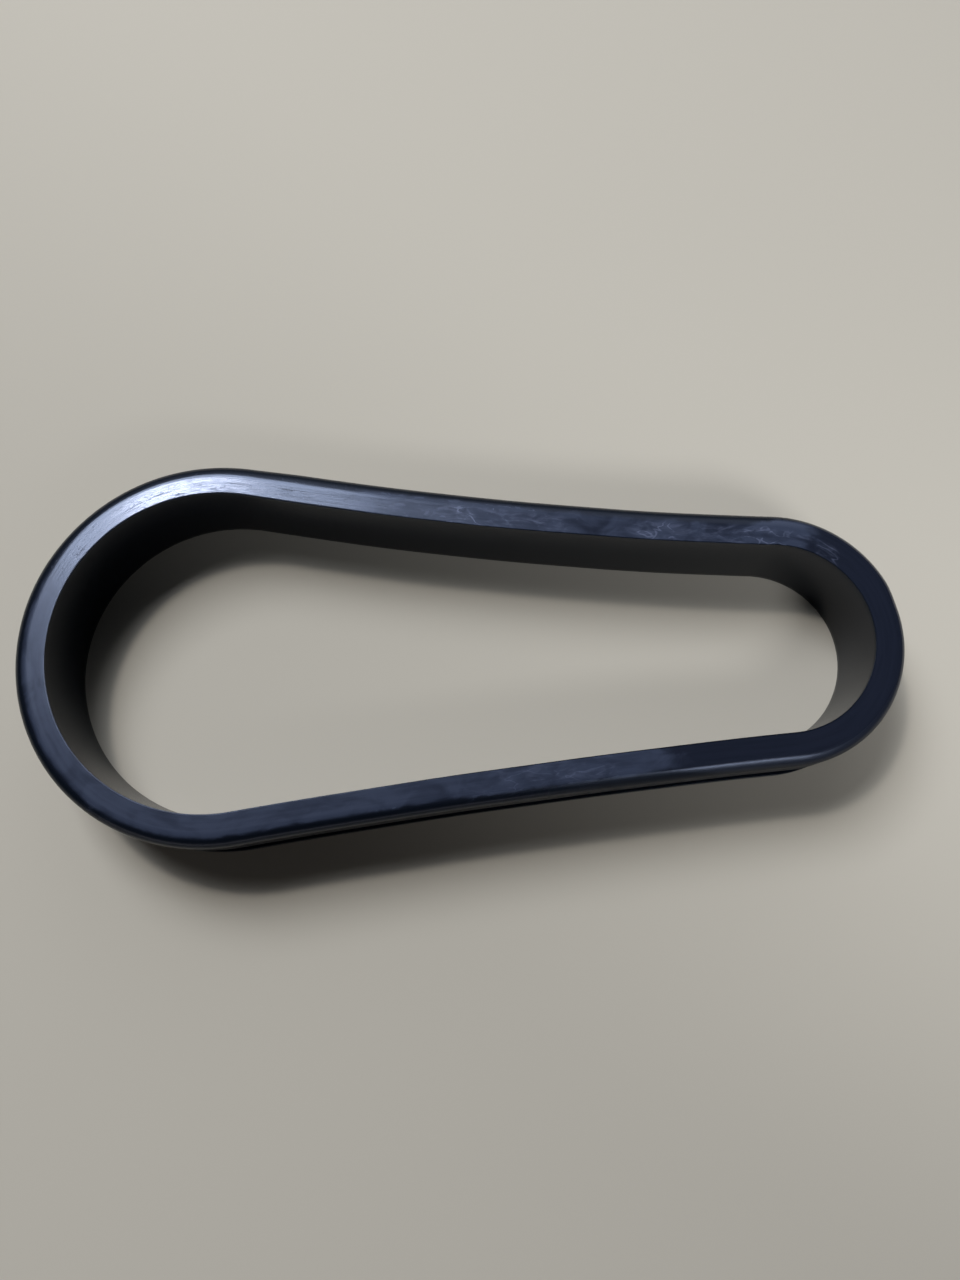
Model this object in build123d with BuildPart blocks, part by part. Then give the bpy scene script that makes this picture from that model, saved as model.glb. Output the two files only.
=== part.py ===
"""Pear-shaped edging grommet, moulded in one piece in black rubber.

It lines a pear-shaped cut-out in a panel. One section is carried round the opening: a plain
inner wall, a deep flange above with a rounded shoulder, a thin flange below, and between them
the groove that grips the panel's edge. Seen from above the opening has a large and a small round end,
joined by two long flanks that are slightly hollow, the back one more than the front one.

Millimetres. X runs along the grommet, the large end at -X; +Z is up; the origin is under
the middle of the grommet, on the surface it lies on.
"""
import os
from math import sqrt

from build123d import *

# ---- driving dimensions ----------------------------------------------------------------
# Opening, along the inner wall
large_end_radius = 54.0
small_end_radius = 32.0
end_centres_apart = 187.5
back_flank_radius = 1330.0
front_flank_radius = 2800.0

# Moulded section
wall = 10.75
top_flange = 15.0
groove_width = 15.0
foot_flange = 6.0
groove_depth = 5.5
shoulder_radius = 3.8
foot_radius = 2.0
groove_lip_radius = 0.8
groove_root_radius = 0.8
inner_edge_radius = 0.25

# ---- worked out ------------------------------------------------------------------------
height = top_flange + groove_width + foot_flange
overall_length = large_end_radius + end_centres_apart + small_end_radius + 2 * wall
large_centre = Vector(-overall_length / 2 + wall + large_end_radius, 0)
small_centre = large_centre + Vector(end_centres_apart, 0)


def flank(radius, side):
    """The hollow arc that touches both round ends from outside, at +Y (side 1) or -Y (side -1).

    Its centre lies at the corner of a triangle on the two end centres, whose other sides are
    this radius added to each end's. Returns the touching points and the point between them.
    """
    to_large = large_end_radius + radius
    to_small = small_end_radius + radius
    along = (to_large**2 - to_small**2 + end_centres_apart**2) / (2 * end_centres_apart)
    centre = large_centre + Vector(along, side * sqrt(to_large**2 - along**2))
    at_large = large_centre + (centre - large_centre).normalized() * large_end_radius
    at_small = small_centre + (centre - small_centre).normalized() * small_end_radius
    middle = centre - (centre - (at_large + at_small) / 2).normalized() * radius
    return at_large, middle, at_small


# ---- the path: the opening's outline at the foot ------------------------------------------
back_large, back_middle, back_small = flank(back_flank_radius, 1)
front_large, front_middle, front_small = flank(front_flank_radius, -1)
large_tip = large_centre - Vector(large_end_radius, 0)
small_tip = small_centre + Vector(small_end_radius, 0)


def on_large_end(point):
    """The point of the large end's arc halfway round from its tip to the given point."""
    halfway = (large_tip - large_centre).normalized() + (point - large_centre).normalized()
    return large_centre + halfway.normalized() * large_end_radius


with BuildLine() as opening:
    ThreePointArc(large_tip, on_large_end(front_large), front_large)
    ThreePointArc(front_large, front_middle, front_small)
    ThreePointArc(front_small, small_tip, back_small)
    ThreePointArc(back_small, back_middle, back_large)
    ThreePointArc(back_large, on_large_end(back_large), large_tip)

# ---- the grommet ---------------------------------------------------------------------------
# The section stands at the large end's tip: its X points outwards, away from the opening.
section_plane = Plane(origin=large_tip, x_dir=(-1, 0, 0), z_dir=(0, 1, 0))

with BuildPart() as grommet:
    with BuildSketch(section_plane) as section:
        Rectangle(wall, height, align=Align.MIN)
        with Locations((wall, foot_flange)):
            Rectangle(groove_depth, groove_width, align=(Align.MAX, Align.MIN), mode=Mode.SUBTRACT)
        inner_edges, groove_roots, outer_edges = section.vertices().group_by(Axis.X)
        foot, lower_lip, upper_lip, shoulder = outer_edges.group_by(Axis.Y)
        fillet(inner_edges, inner_edge_radius)
        fillet(groove_roots, groove_root_radius)
        fillet(foot, foot_radius)
        fillet(lower_lip + upper_lip, groove_lip_radius)
        fillet(shoulder, shoulder_radius)
    sweep(path=opening.wire())

grommet.part.label = "grommet"

os.makedirs("parts", exist_ok=True)
export_step(grommet.part, "parts/grommet.step")

size = grommet.part.bounding_box().size
print(f"grommet {size.X:.1f} x {size.Y:.1f} x {size.Z:.1f} mm, {grommet.part.volume / 1000:.1f} cm3")
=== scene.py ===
from math import pi, radians, sqrt

import bpy
import numpy as np
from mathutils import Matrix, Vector


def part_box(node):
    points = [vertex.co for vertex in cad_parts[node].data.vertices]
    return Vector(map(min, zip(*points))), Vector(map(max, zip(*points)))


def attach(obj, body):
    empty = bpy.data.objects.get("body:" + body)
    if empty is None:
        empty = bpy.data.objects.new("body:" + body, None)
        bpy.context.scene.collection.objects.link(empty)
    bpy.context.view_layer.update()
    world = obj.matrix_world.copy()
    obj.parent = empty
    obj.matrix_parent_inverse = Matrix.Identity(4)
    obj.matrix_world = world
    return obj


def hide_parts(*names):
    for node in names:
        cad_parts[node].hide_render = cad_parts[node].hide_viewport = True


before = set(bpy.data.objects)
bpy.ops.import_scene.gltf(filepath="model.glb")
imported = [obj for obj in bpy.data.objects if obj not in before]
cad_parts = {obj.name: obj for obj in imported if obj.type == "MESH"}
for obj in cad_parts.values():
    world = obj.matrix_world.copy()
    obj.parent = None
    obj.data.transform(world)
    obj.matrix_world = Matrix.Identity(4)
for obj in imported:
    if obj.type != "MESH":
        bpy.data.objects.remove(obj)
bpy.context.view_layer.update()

MM = 0.001
scene = bpy.context.scene
scene.view_settings.view_transform = "Standard"

# ---- camera: nearly straight down, from the front flank's side -------------------------------
CAMERA_PLACE = (1.2 * MM, -76.3 * MM, 355.9 * MM)
CAMERA_TURN = (radians(13.56), radians(-0.52), radians(-1.26))
LENS = 28.125
SENSOR = 36.0
NEAREST_SEEN = 10 * MM

camera_data = bpy.data.cameras.new("camera")
camera_data.lens = LENS
camera_data.sensor_width = SENSOR
camera_data.clip_start = NEAREST_SEEN
camera = bpy.data.objects.new("camera", camera_data)
camera.location = CAMERA_PLACE
camera.rotation_euler = CAMERA_TURN
scene.collection.objects.link(camera)
scene.camera = camera

# ---- sizes of the grommet --------------------------------------------------------------------
box_low, box_high = (np.array(corner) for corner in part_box("grommet"))
WIDTH, HEIGHT = (box_high - box_low)[1:]
WALL = 10.75 * MM
LARGE_RADIUS = WIDTH / 2 - WALL
SMALL_RADIUS = 32.0 * MM
BACK_RADIUS = 1330.0 * MM
FRONT_RADIUS = 2800.0 * MM
SHOULDER_ACROSS = 4.85 * MM
SHOULDER_DEEP = 3.8 * MM
GROOVE_TOP = 21.0 * MM
GROOVE_FOOT = 6.0 * MM
GROOVE_DEPTH = 5.5 * MM
LIP = 0.8 * MM
FOOT_LIP = 0.2 * MM
ROOT = 0.8 * MM
FOOT = 2.0 * MM
INNER_EDGE = 0.08 * MM

STEPS_ROUND = 1000

# How the moulded ring departs from its drawing. Places round the ring are distances along the
# opening's outline from the large end's back: the large end's tip is at 95 mm, the front flank at
# 188 to 371, the small end's tip at 419 and the back flank at 467 to 648. Places across it are
# distances outwards from the top inner edge. A stretch is where it starts, where it ends and the
# length over which it eases off, in millimetres.

# it wavers inwards and its top sinks, each by up to this much and in these numbers of waves
UNEVEN = 0.2 * MM
WAVER_TURNS, WAVER_SEED = (3, 5, 8, 13), 4
SINK_TURNS, SINK_SEED = (4, 7, 11, 17), 9
# the top flange's rim stands out, rising and falling at these distances past its start
RIM_OUT = 0.6 * MM
RIM_ACROSS = (4 * MM, 9 * MM)
RIM_MARGIN = 0.1 * MM
RIM_START = 426 * MM
RIM_RISES = (0 * MM, 8 * MM)
RIM_FALLS = (203 * MM, 227 * MM)
# the top inner edge is nibbled
NIBBLE_DEEP = 0.25 * MM
NIBBLE_TURNS, NIBBLE_SEED = (97, 151, 233, 310), 2
NIBBLED_ROUND = (428, 466, 5)
NIBBLED_ACROSS = (-0.1, 0.2, 0.4)

# How the top is worn, with painted sheen laid in among the bloom. A patch is a stretch round the ring,
# a stretch across it and a strength.
ACROSS_ALL = (0, 99, 1)
BLOOMED_AND_SHEEN = [
    # the patches round the large end's tip and back (75 to 190, 556 to 600) partly paint the tail of
    # the overhead lights' highlight
    ((75, 190, 12), ACROSS_ALL, 0.85),
    ((200, 246, 12), ACROSS_ALL, 0.9),
    ((268, 314, 30), ACROSS_ALL, 1.0),
    ((462, 534, 16), ACROSS_ALL, 0.62),
    ((556, 600, 24), ACROSS_ALL, 1.2),
]
SCUFFED = [
    ((450, 466, 6), (0.5, 4, 2), 1.0),
    ((472, 512, 8), (1, 5, 2.5), 1.0),
    ((548, 590, 14), (0.5, 5, 2), 1.4),
    ((276, 306, 12), ACROSS_ALL, 0.5),
]
SCRATCHED = [
    ((606, 660, 20), ACROSS_ALL, 1.0),
    ((-20, 60, 20), ACROSS_ALL, 1.0),
    ((538, 583, 10), ACROSS_ALL, 0.7),
]
DULLED_ROUND = (312, 392, 26)
DULLED_FROM = (7.2, 8.8)

# The top's finish, with its painted sheen, rises over the first distances out from the inner edge and
# fades over the second to a small share. It reaches further out on the wider stretch round the small
# end.
FLAT_RISES = (0.0, 0.45)
FLAT_FADES = (5.8, 8.8)
SHOULDER_SHARE = 0.1
WIDER_ROUND = (350, 450, 25)
WIDER_BY = 3.0


# ---- the moulded ring ------------------------------------------------------------------------
def opening_outline(count):
    """The opening's outline as evenly spaced points, anticlockwise from the large end's back.

    Four arcs that touch: the two ends, and two hollow flanks whose centres lie outside, each at
    a distance of its own radius plus an end's from that end's centre. A point is its arc's
    centre plus the radius times (cos, sin) of an angle that grows evenly with the distance.
    Returns the points, the directions out of the opening, the distance along for each, and the
    whole length.
    """
    large = np.array([box_low[0] + WALL + LARGE_RADIUS, 0.0])
    small = np.array([box_high[0] - WALL - SMALL_RADIUS, 0.0])
    apart = small[0] - large[0]

    def flank_centre(radius, side):
        to_large, to_small = LARGE_RADIUS + radius, SMALL_RADIUS + radius
        along = (to_large**2 - to_small**2 + apart**2) / (2 * apart)
        return large + np.array([along, side * sqrt(to_large**2 - along**2)])

    def bearing(start, end):
        return np.arctan2(*(end - start)[::-1])

    back, front = flank_centre(BACK_RADIUS, 1), flank_centre(FRONT_RADIUS, -1)
    arcs = [
        (large, LARGE_RADIUS, bearing(large, back), bearing(large, front) + 2 * pi, 1),
        (front, FRONT_RADIUS, bearing(front, large), bearing(front, small), -1),
        (small, SMALL_RADIUS, bearing(small, front), bearing(small, back), 1),
        (back, BACK_RADIUS, bearing(back, small), bearing(back, large), -1),
    ]
    centre = np.array([arc[0] for arc in arcs])
    radius, first, last, outwards = (np.array([arc[i] for arc in arcs]) for i in range(1, 5))
    ends = np.cumsum(radius * abs(last - first))
    along = np.arange(count) * ends[-1] / count
    arc = np.searchsorted(ends, along, side="right")
    share = (along - np.append(0, ends)[arc]) / np.diff(np.append(0, ends))[arc]
    angle = first[arc] + share * (last - first)[arc]
    ray = np.stack([np.cos(angle), np.sin(angle)], axis=1)
    return centre[arc] + radius[arc, None] * ray, outwards[arc, None] * ray, along, ends[-1]


def section():
    """The moulded section, as (distance out from the inner wall, height), once round.

    A list of right-angled corners, each replaced by a quarter of an ellipse, with even steps
    along the straight runs between them. It starts and ends in the groove, where its seam is
    out of sight. Also returns each point's distance along it from the top inner edge, which is
    positive going outwards over the top and negative going down the inner wall.
    """
    web = WALL - GROOVE_DEPTH
    # corner x, corner z, radius before and after, steps round it, steps along the run that follows
    corners = [
        (web, GROOVE_FOOT, ROOT, ROOT, 3, 3),
        (WALL, GROOVE_FOOT, FOOT_LIP, FOOT_LIP, 3, 4),
        (WALL, 0, FOOT, FOOT, 7, 5),
        (0, 0, INNER_EDGE, INNER_EDGE, 2, 18),
        (0, HEIGHT, INNER_EDGE, INNER_EDGE, 3, 12),
        (WALL, HEIGHT, SHOULDER_ACROSS, SHOULDER_DEEP, 16, 4),
        (WALL, GROOVE_TOP, LIP, LIP, 4, 4),
        (web, GROOVE_TOP, ROOT, ROOT, 3, 4),
    ]
    place = np.array([c[:2] for c in corners], float)
    before, after = (np.array([c[i] for c in corners])[:, None] for i in (2, 3))
    into = place - np.roll(place, 1, axis=0)
    into /= np.linalg.norm(into, axis=1, keepdims=True)
    out = np.roll(into, -1, axis=0)
    starts, ends = place - into * before, place + out * after
    pieces = []
    for i, (_, _, r_before, r_after, steps, run) in enumerate(corners):
        turn = np.linspace(0, pi / 2, steps + 1)[:, None]
        reach, fall = r_before * np.sin(turn), r_after * (1 - np.cos(turn))
        pieces.append(starts[i] + reach * into[i] + fall * out[i])
        following = starts[(i + 1) % len(corners)]
        pieces.append(ends[i] + (following - ends[i]) * (np.arange(1, run) / run)[:, None])
    points = np.concatenate(pieces)
    across = np.append(0, np.cumsum(np.linalg.norm(np.diff(points, axis=0), axis=1)))
    top_inner = np.argmin(np.linalg.norm(points - (0, HEIGHT), axis=1))
    return points, across - across[top_inner]


def eased(value, first, last):
    """0 up to first and 1 from last on, with a smooth S between."""
    share = np.clip((value - first) / (last - first), 0, 1)
    return share * share * (3 - 2 * share)


def stretch(value, first, last, soft):
    """1 between first and last, easing to 0 over a soft length beyond each."""
    return eased(value, first - soft, first) * (1 - eased(value, last, last + soft))


def waver(along, total, turns, seed):
    """A seamless waver between 0 and 1: the mean of sines of whole turns, each shifted at random."""
    phase = np.random.default_rng(seed).uniform(0, 2 * pi, len(turns))
    wound = 2 * pi * np.outer(along / total, turns) + phase
    return 0.5 + 0.5 * np.sin(wound).mean(axis=1)


def top_share(s, t):
    """1 on the flat, fading to a tenth over the shoulder, later round the small end; 0 on the wall.

    s is the distance round the ring and t the distance out from the top inner edge, in millimetres.
    """
    later = WIDER_BY * stretch(s, *WIDER_ROUND)
    return eased(t, *FLAT_RISES) * (1 - (1 - SHOULDER_SHARE) * eased(t - later, *FLAT_FADES))


def dulled(s, t):
    """1 where handling has dulled the shoulder, on the front flank by the small end."""
    return stretch(s, *DULLED_ROUND) * eased(t, *DULLED_FROM)


def wear_and_sheen(s, t):
    """How far the top is bloomed, scuffed and scratched: three amounts at each point.

    Each is the sum of its patches, a patch being its strength times its two stretches, and all
    keep to the top. The bloom amount also carries painted sheen of the overhead lights.
    """
    sums = [
        sum(strength * stretch(s, *along) * stretch(t, *over) for along, over, strength in patches)
        for patches in (BLOOMED_AND_SHEEN, SCUFFED, SCRATCHED)
    ]
    return top_share(s, t)[..., None] * np.stack(sums, axis=2)


def swept_ring(name):
    """The section carried round the outline: point + direction out * distance out, at its height.

    The ring is a little uneven, as rubber is: it wavers inwards and its top sinks, and the top
    inner edge is nibbled at the small end's back. The rim of its top flange stands further out
    there and along the back flank.
    """
    path, outward, along, total = opening_outline(STEPS_ROUND)
    profile, across = section()
    rounds, around = len(path), len(profile)
    s, t = (along / MM)[:, None], (across / MM)[None, :]
    out = np.tile(profile[:, 0], (rounds, 1))
    up = np.tile(profile[:, 1], (rounds, 1))
    out -= UNEVEN * waver(along, total, WAVER_TURNS, WAVER_SEED)[:, None]
    rim = eased(profile[:, 0], *RIM_ACROSS) * (profile[:, 1] > GROOVE_TOP - RIM_MARGIN)
    past_start = ((along - RIM_START) % total)[:, None]
    out += RIM_OUT * eased(past_start, *RIM_RISES) * (1 - eased(past_start, *RIM_FALLS)) * rim
    up *= 1 - UNEVEN / HEIGHT * waver(along, total, SINK_TURNS, SINK_SEED)[:, None]
    nibbled = stretch(s, *NIBBLED_ROUND) * waver(along, total, NIBBLE_TURNS, NIBBLE_SEED)[:, None] ** 2
    out += NIBBLE_DEEP * nibbled * stretch(t, *NIBBLED_ACROSS)
    points = np.concatenate([path[:, None] + outward[:, None] * out[..., None], up[..., None]], axis=2)
    # a quad joins each point to the next along the section and round the ring, and faces outwards
    index = np.arange(rounds * around).reshape(rounds, around)
    beside, onwards = np.roll(index, -1, 1), np.roll(index, -1, 0)
    quads = np.stack([index, beside, np.roll(onwards, -1, 1), onwards], axis=-1).reshape(-1, 4)
    mesh = bpy.data.meshes.new(name)
    mesh.vertices.add(rounds * around)
    mesh.vertices.foreach_set("co", points.ravel())
    mesh.loops.add(quads.size)
    mesh.loops.foreach_set("vertex_index", quads.ravel())
    mesh.polygons.add(len(quads))
    mesh.polygons.foreach_set("loop_start", np.arange(0, quads.size, 4))
    mesh.polygons.foreach_set("use_smooth", np.ones(len(quads), bool))
    mesh.update()
    mesh.validate()
    # ring: seamless coordinates in metres; the distance along is wound on a circle of the same length
    wound = 2 * pi * along / total
    ring = np.empty((rounds, around, 3))
    ring[..., 0] = (total / (2 * pi) * np.cos(wound))[:, None]
    ring[..., 1] = (total / (2 * pi) * np.sin(wound))[:, None]
    ring[..., 2] = across
    # top, dull and wear: how much each place has of the top's finish, of dulling, and of each wear,
    # the bloom with painted sheen in it
    for kept, kind, field, values in (
        ("ring", "FLOAT_VECTOR", "vector", ring),
        ("wear_and_sheen", "FLOAT_VECTOR", "vector", wear_and_sheen(s, t)),
        ("top", "FLOAT", "value", top_share(s, t)),
        ("dull", "FLOAT", "value", dulled(s, t)),
    ):
        mesh.attributes.new(kept, kind, "POINT").data.foreach_set(field, values.ravel())
    piece = bpy.data.objects.new(name, mesh)
    scene.collection.objects.link(piece)
    return piece


# ---- the rubber's finish ---------------------------------------------------------------------
BLACK = "#080E17"
# the haze and bloom colours are partly wax bloom and partly painted sheen of the overhead lights on
# the top
HAZE_AND_SHEEN = "#1D2230"
BLOOM_AND_SHEEN = "#363E52"
SCUFF = "#5C647E"
REFLECTED = "#CCDCFF"
RUBBER_IOR = 1.5
RELIEF_HEIGHT = 0.03 * MM

# The noises that the finish is made of. Squeeze is a noise's width over its length along the ring,
# size is its width in millimetres, and the rest are its detail, roughness and distortion. Grain,
# brush marks, cuts and specks are drawn coarser than real ones, which would be too fine to show.
NOISES = {
    # name: (squeeze, size, detail, roughness, distortion)
    "mottle": (0.5, 6.0, 5.0, 0.55, 0.8),  # the patches in which bloom gathers
    "grain": (0.06, 1.1, 4.0, 0.55, 0.0),  # the mould's grain, left by its polishing
    "streaks": (0.025, 1.3, 5.0, 0.6, 0.0),  # marks of a brush or cloth
    "cloud": (0.36, 3.2, 5.0, 0.6, 1.0),  # wisps left by rubbing
    "slow": (0.36, 5.0, 1.5, 0.55, 0.8),  # the bends of the creases
    "lines": (0.03, 0.7, 2.0, 0.55, 0.2),  # cuts
    "gaps": (1.0, 5.0, 3.0, 0.55, 0.0),  # where cuts and specks are missing
    "grit": (0.7, 0.9, 2.0, 0.55, 0.0),  # specks
}

# How the finish is worked out, step by step. A row gives an amount's name, what is done and what
# with: the names of amounts before it, or numbers. EASE takes an amount between two values to
# between two others, smoothly and no further; the rest is plain arithmetic.
RECIPE = [
    # haze and painted sheen: an even thin film of wax with a little grain, which also paints the
    # overhead lights' sheen on the top
    ("haze_and_sheen", "EASE", "grain", 0.25, 0.75, 0.80, 1.10),
    ("haze_and_sheen", "MULTIPLY", "top", "haze_and_sheen"),
    # bloom and painted sheen: where the mask says, in patches that are mottled, and streaked along the
    # ring
    ("bloom_and_sheen", "ADD", "bloomed_and_sheen", "mottle"),
    ("bloom_and_sheen", "EASE", "bloom_and_sheen", 0.70, 1.25, 0.0, 1.0),
    ("patches", "EASE", "mottle", 0.30, 0.68, 0.62, 1.12),
    ("bloom_and_sheen", "MULTIPLY", "bloom_and_sheen", "patches"),
    ("wiped", "EASE", "streaks", 0.30, 0.70, 0.80, 1.15),
    ("bloom_and_sheen", "MULTIPLY", "bloom_and_sheen", "wiped"),
    # scuffs: wisps of cloud, and thin bent creases where a slow noise passes its middle value
    ("wisps", "EASE", "cloud", 0.46, 0.72, 0.0, 1.0),
    ("creases", "SUBTRACT", "slow", 0.5),
    ("creases", "ABSOLUTE", "creases"),
    ("creases", "EASE", "creases", 0.022, 0.0, 0.0, 1.0),
    ("pieces", "EASE", "mottle", 0.44, 0.58, 0.0, 1.0),
    ("creases", "MULTIPLY", "creases", "pieces"),
    ("creases", "MULTIPLY", "creases", 0.6),
    ("scuffs", "MULTIPLY_ADD", "wisps", 0.45, "creases"),
    ("scuffs", "MULTIPLY", "scuffs", "scuffed"),
    ("scuffs", "MINIMUM", "scuffs", 1.0),
    # scratches: cuts that come and go, specks, and shallow brush marks
    ("broken", "EASE", "gaps", 0.42, 0.62, 0.0, 1.0),
    ("broken", "MULTIPLY", "broken", "scratched"),
    ("cuts", "EASE", "lines", 0.56, 0.72, 0.0, 1.0),
    ("cuts", "MULTIPLY", "cuts", "broken"),
    ("specks", "EASE", "grit", 0.62, 0.74, 0.0, 1.0),
    ("specks", "MULTIPLY", "specks", "broken"),
    ("brushed", "MULTIPLY", "streaks", "scratched"),
    # roughness: the flat is smoother than the rest, and wear dulls it
    ("rough", "EASE", "top", 0.0, 1.0, 0.27, 0.165),
    ("rough", "MULTIPLY_ADD", "scuffs", 0.10, "rough"),
    ("rough", "MULTIPLY_ADD", "cuts", 0.10, "rough"),
    ("rough", "MULTIPLY_ADD", "specks", 0.08, "rough"),
    ("rough", "MULTIPLY_ADD", "bloom_and_sheen", 0.07, "rough"),
    ("rough", "MULTIPLY_ADD", "dull", 0.22, "rough"),
    # gloss: weaker off the flat
    ("gloss", "EASE", "top", 0.0, 0.5, 0.22, 0.52),
    # relief, in parts of its height: scuffs stand up, cuts and specks go in
    ("relief", "MULTIPLY", "grain", 0.25),
    ("relief", "MULTIPLY_ADD", "cuts", -0.7, "relief"),
    ("relief", "MULTIPLY_ADD", "scuffs", 0.4, "relief"),
    ("relief", "MULTIPLY_ADD", "specks", -0.8, "relief"),
    ("relief", "MULTIPLY_ADD", "brushed", 2.3, "relief"),
    # specks show half as strongly as scuffs do
    ("pale_specks", "MULTIPLY", "specks", 0.5),
]

# The colours laid over the black, each as far as its amount says; the haze and bloom colours also
# paint the overhead lights' sheen.
LAYERS = [("haze_and_sheen", HAZE_AND_SHEEN), ("bloom_and_sheen", BLOOM_AND_SHEEN), ("scuffs", SCUFF), ("pale_specks", SCUFF)]


def colour(hex_code):
    """An sRGB hex colour as linear RGBA."""
    srgb = np.array([int(hex_code[i : i + 2], 16) for i in (1, 3, 5)]) / 255
    linear = np.where(srgb <= 0.04045, srgb / 12.92, ((srgb + 0.055) / 1.055) ** 2.4)
    return (*linear.tolist(), 1.0)


def add(tree, kind, inputs=(), **settings):
    """Adds a shader node and returns it.

    settings are its properties. inputs are its sockets, in their order or by their names: each is
    set to a value, or linked to an output or to a node's first output.
    """
    node = tree.nodes.new("ShaderNode" + kind)
    for key, value in settings.items():
        setattr(node, key, value)
    for key, value in inputs.items() if isinstance(inputs, dict) else enumerate(inputs):
        if isinstance(value, bpy.types.Node):
            value = value.outputs[0]
        if isinstance(value, bpy.types.NodeSocket):
            tree.links.new(value, node.inputs[key])
        else:
            node.inputs[key].default_value = value
    return node


def new_material(name):
    material = bpy.data.materials.new(name)
    material.use_nodes = True
    material.node_tree.nodes.clear()
    return material, material.node_tree


def moulded_rubber():
    """EPDM rubber, black, pressed in a polished mould, with a thin bluish bloom on its top.

    Black all over. On the top a haze of wax, brought out by age, together with painted sheen of the
    overhead
    lights, lifts it to a dark blue grey: even and thin all round, thicker and mottled where the bloom
    mask says.
    crossed by thin bent creases. Scratches are brush marks, cuts and specks along the ring. The
    shoulder is dulled where the dull mask says.
    """
    material, tree = new_material("moulded_epdm_rubber")
    ring, worn_and_sheen, top, dull = (
        add(tree, "Attribute", attribute_name=kept).outputs[output]
        for kept, output in (("ring", "Vector"), ("wear_and_sheen", "Vector"), ("top", "Fac"), ("dull", "Fac"))
    )
    bloomed_and_sheen, scuffed, scratched = add(tree, "SeparateXYZ", (worn_and_sheen,)).outputs
    amount = {"top": top, "dull": dull, "bloomed_and_sheen": bloomed_and_sheen, "scuffed": scuffed, "scratched": scratched}
    for name, (squeeze, size, detail, roughness, distortion) in NOISES.items():
        place = add(tree, "VectorMath", (ring, (squeeze, squeeze, 1.0)), operation="MULTIPLY")
        inputs = {"Vector": place, "Scale": 1 / (size * MM), "Detail": detail, "Roughness": roughness,
                  "Distortion": distortion}
        amount[name] = add(tree, "TexNoise", inputs).outputs["Fac"]
    for name, done, *terms in RECIPE:
        terms = [amount.get(term, term) for term in terms]
        if done == "EASE":
            amount[name] = add(tree, "MapRange", terms, interpolation_type="SMOOTHSTEP")
        else:
            amount[name] = add(tree, "Math", terms, operation=done)
    # a Mix node takes its colours at sockets 6 and 7, and gives one at output 2
    shade = colour(BLACK)
    for name, over in LAYERS:
        mix = add(tree, "Mix", {0: amount[name], 6: shade, 7: colour(over)}, data_type="RGBA")
        shade = mix.outputs[2]
    bump = add(tree, "Bump", {"Strength": 1.0, "Distance": RELIEF_HEIGHT, "Height": amount["relief"]})
    surface = add(tree, "BsdfPrincipled", {
        "Base Color": shade, "Roughness": amount["rough"], "Normal": bump, "IOR": RUBBER_IOR,
        "Specular IOR Level": amount["gloss"], "Specular Tint": colour(REFLECTED),
    })
    add(tree, "OutputMaterial", {"Surface": surface})
    return material


grommet = swept_ring("moulded_ring")
grommet.data.materials.append(moulded_rubber())
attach(grommet, "root")
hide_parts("grommet")


# ---- studio ----------------------------------------------------------------------------------
PAPER = "#C4C0B6"
PAPER_ROUGHNESS = 0.9
BACKDROP = "#E6E4E0"
BACKDROP_STRENGTH = 0.9
ROOM = "#C8D0DC"
ROOM_STRENGTH = 0.018
FLOOR_HALF = 3.0
FLOOR_FADES = (0.45, 1.7)
MIDDLE = (0.0, 0.0, 0.0)
WHITE = "#FFFFFF"

# soft rectangular lamps: name, place, width and length, watts, tint, and the point that each faces
SOFT_LAMPS = [
    ("key_lamp", (-0.765, 0.92, 2.25), (0.16, 0.16), 11.5, "#FFF6EC", MIDDLE),
    ("key_softbox", (-0.89, 1.35, 2.25), (1.12, 1.3), 54.0, "#F8FBFF", MIDDLE),
    ("front_softbox", (-0.5, -1.6, 0.30), (2.4, 0.3), 3.7, "#FFF2E8", MIDDLE),
    ("far_softbox", (0.5, 2.6, 2.1), (2.4, 2.0), 9.0, WHITE, MIDDLE),
    ("back_softbox", (0.0, 2.4, 1.1), (3.0, 1.8), 4.5, "#E4EDFF", (0.0, 0.0, 0.3)),
]
# a round lamp for the front shoulder's highlight by the small end
SPOT_PLACE = (0.35, -0.45, 0.60)
SPOT_AIM = (0.892, 1.5, 0.0)
SPOT_WATTS = 8.3
SPOT_CONE = radians(107.2)
SPOT_SOFT_EDGE = 0.16
SPOT_RADIUS = 0.11


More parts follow.
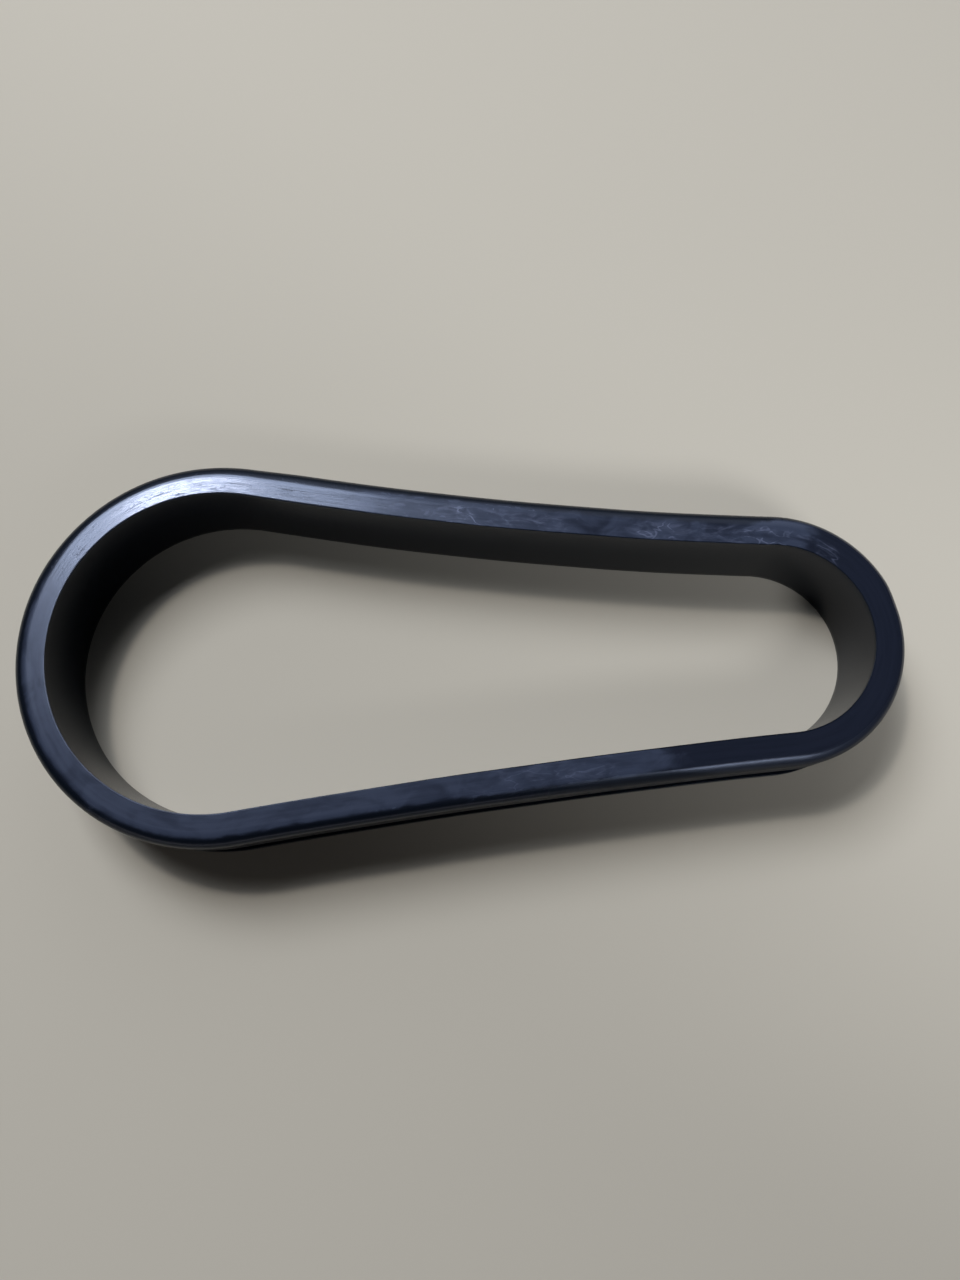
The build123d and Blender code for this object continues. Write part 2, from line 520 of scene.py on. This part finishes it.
def floor():
    """A plain pale floor, which the camera sees fade into the backdrop far from the grommet."""
    half = FLOOR_HALF
    mesh = bpy.data.meshes.new("floor")
    corners = [(-half, -half, 0), (half, -half, 0), (half, half, 0), (-half, half, 0)]
    mesh.from_pydata(corners, [], [(0, 1, 2, 3)])
    material, tree = new_material("pale_matt_paper")
    paper = add(tree, "BsdfPrincipled", {"Base Color": colour(PAPER), "Roughness": PAPER_ROUGHNESS})
    far_paper = add(tree, "Emission", {"Color": colour(BACKDROP), "Strength": BACKDROP_STRENGTH})
    place = add(tree, "TexCoord").outputs["Object"]
    away = add(tree, "VectorMath", (place,), operation="LENGTH").outputs["Value"]
    share = add(tree, "MapRange", (away, *FLOOR_FADES, 0.0, 1.0), interpolation_type="SMOOTHSTEP")
    seen = add(tree, "LightPath").outputs["Is Camera Ray"]
    share = add(tree, "Math", (share, seen), operation="MULTIPLY")
    surface = add(tree, "MixShader", (share, paper, far_paper))
    add(tree, "OutputMaterial", {"Surface": surface})
    mesh.materials.append(material)
    piece = bpy.data.objects.new("floor", mesh)
    scene.collection.objects.link(piece)


def surroundings():
    """A dim, even room, which the camera itself sees as a pale backdrop."""
    world = bpy.data.worlds.new("room")
    world.use_nodes = True
    tree = world.node_tree
    tree.nodes.clear()
    room = add(tree, "Background", {"Color": colour(ROOM), "Strength": ROOM_STRENGTH})
    backdrop = add(tree, "Background", {"Color": colour(BACKDROP), "Strength": BACKDROP_STRENGTH})
    seen = add(tree, "LightPath").outputs["Is Camera Ray"]
    add(tree, "OutputWorld", {"Surface": add(tree, "MixShader", (seen, room, backdrop))})
    scene.world = world


def light(name, kind, place, watts, tint, aim, **settings):
    """A light at a place, turned to face a point. settings are the rest of its properties."""
    data = bpy.data.lights.new(name, kind)
    data.energy = watts
    data.color = colour(tint)[:3]
    for key, value in settings.items():
        setattr(data, key, value)
    piece = bpy.data.objects.new(name, data)
    piece.location = place
    piece.rotation_euler = (Vector(aim) - Vector(place)).to_track_quat("-Z", "Y").to_euler()
    scene.collection.objects.link(piece)


floor()
surroundings()
for lamp, place, (width, length), watts, tint, aim in SOFT_LAMPS:
    light(lamp, "AREA", place, watts, tint, aim, shape="RECTANGLE", size=width, size_y=length)
light("right_spot", "SPOT", SPOT_PLACE, SPOT_WATTS, WHITE, SPOT_AIM,
      spot_size=SPOT_CONE, spot_blend=SPOT_SOFT_EDGE, shadow_soft_size=SPOT_RADIUS)
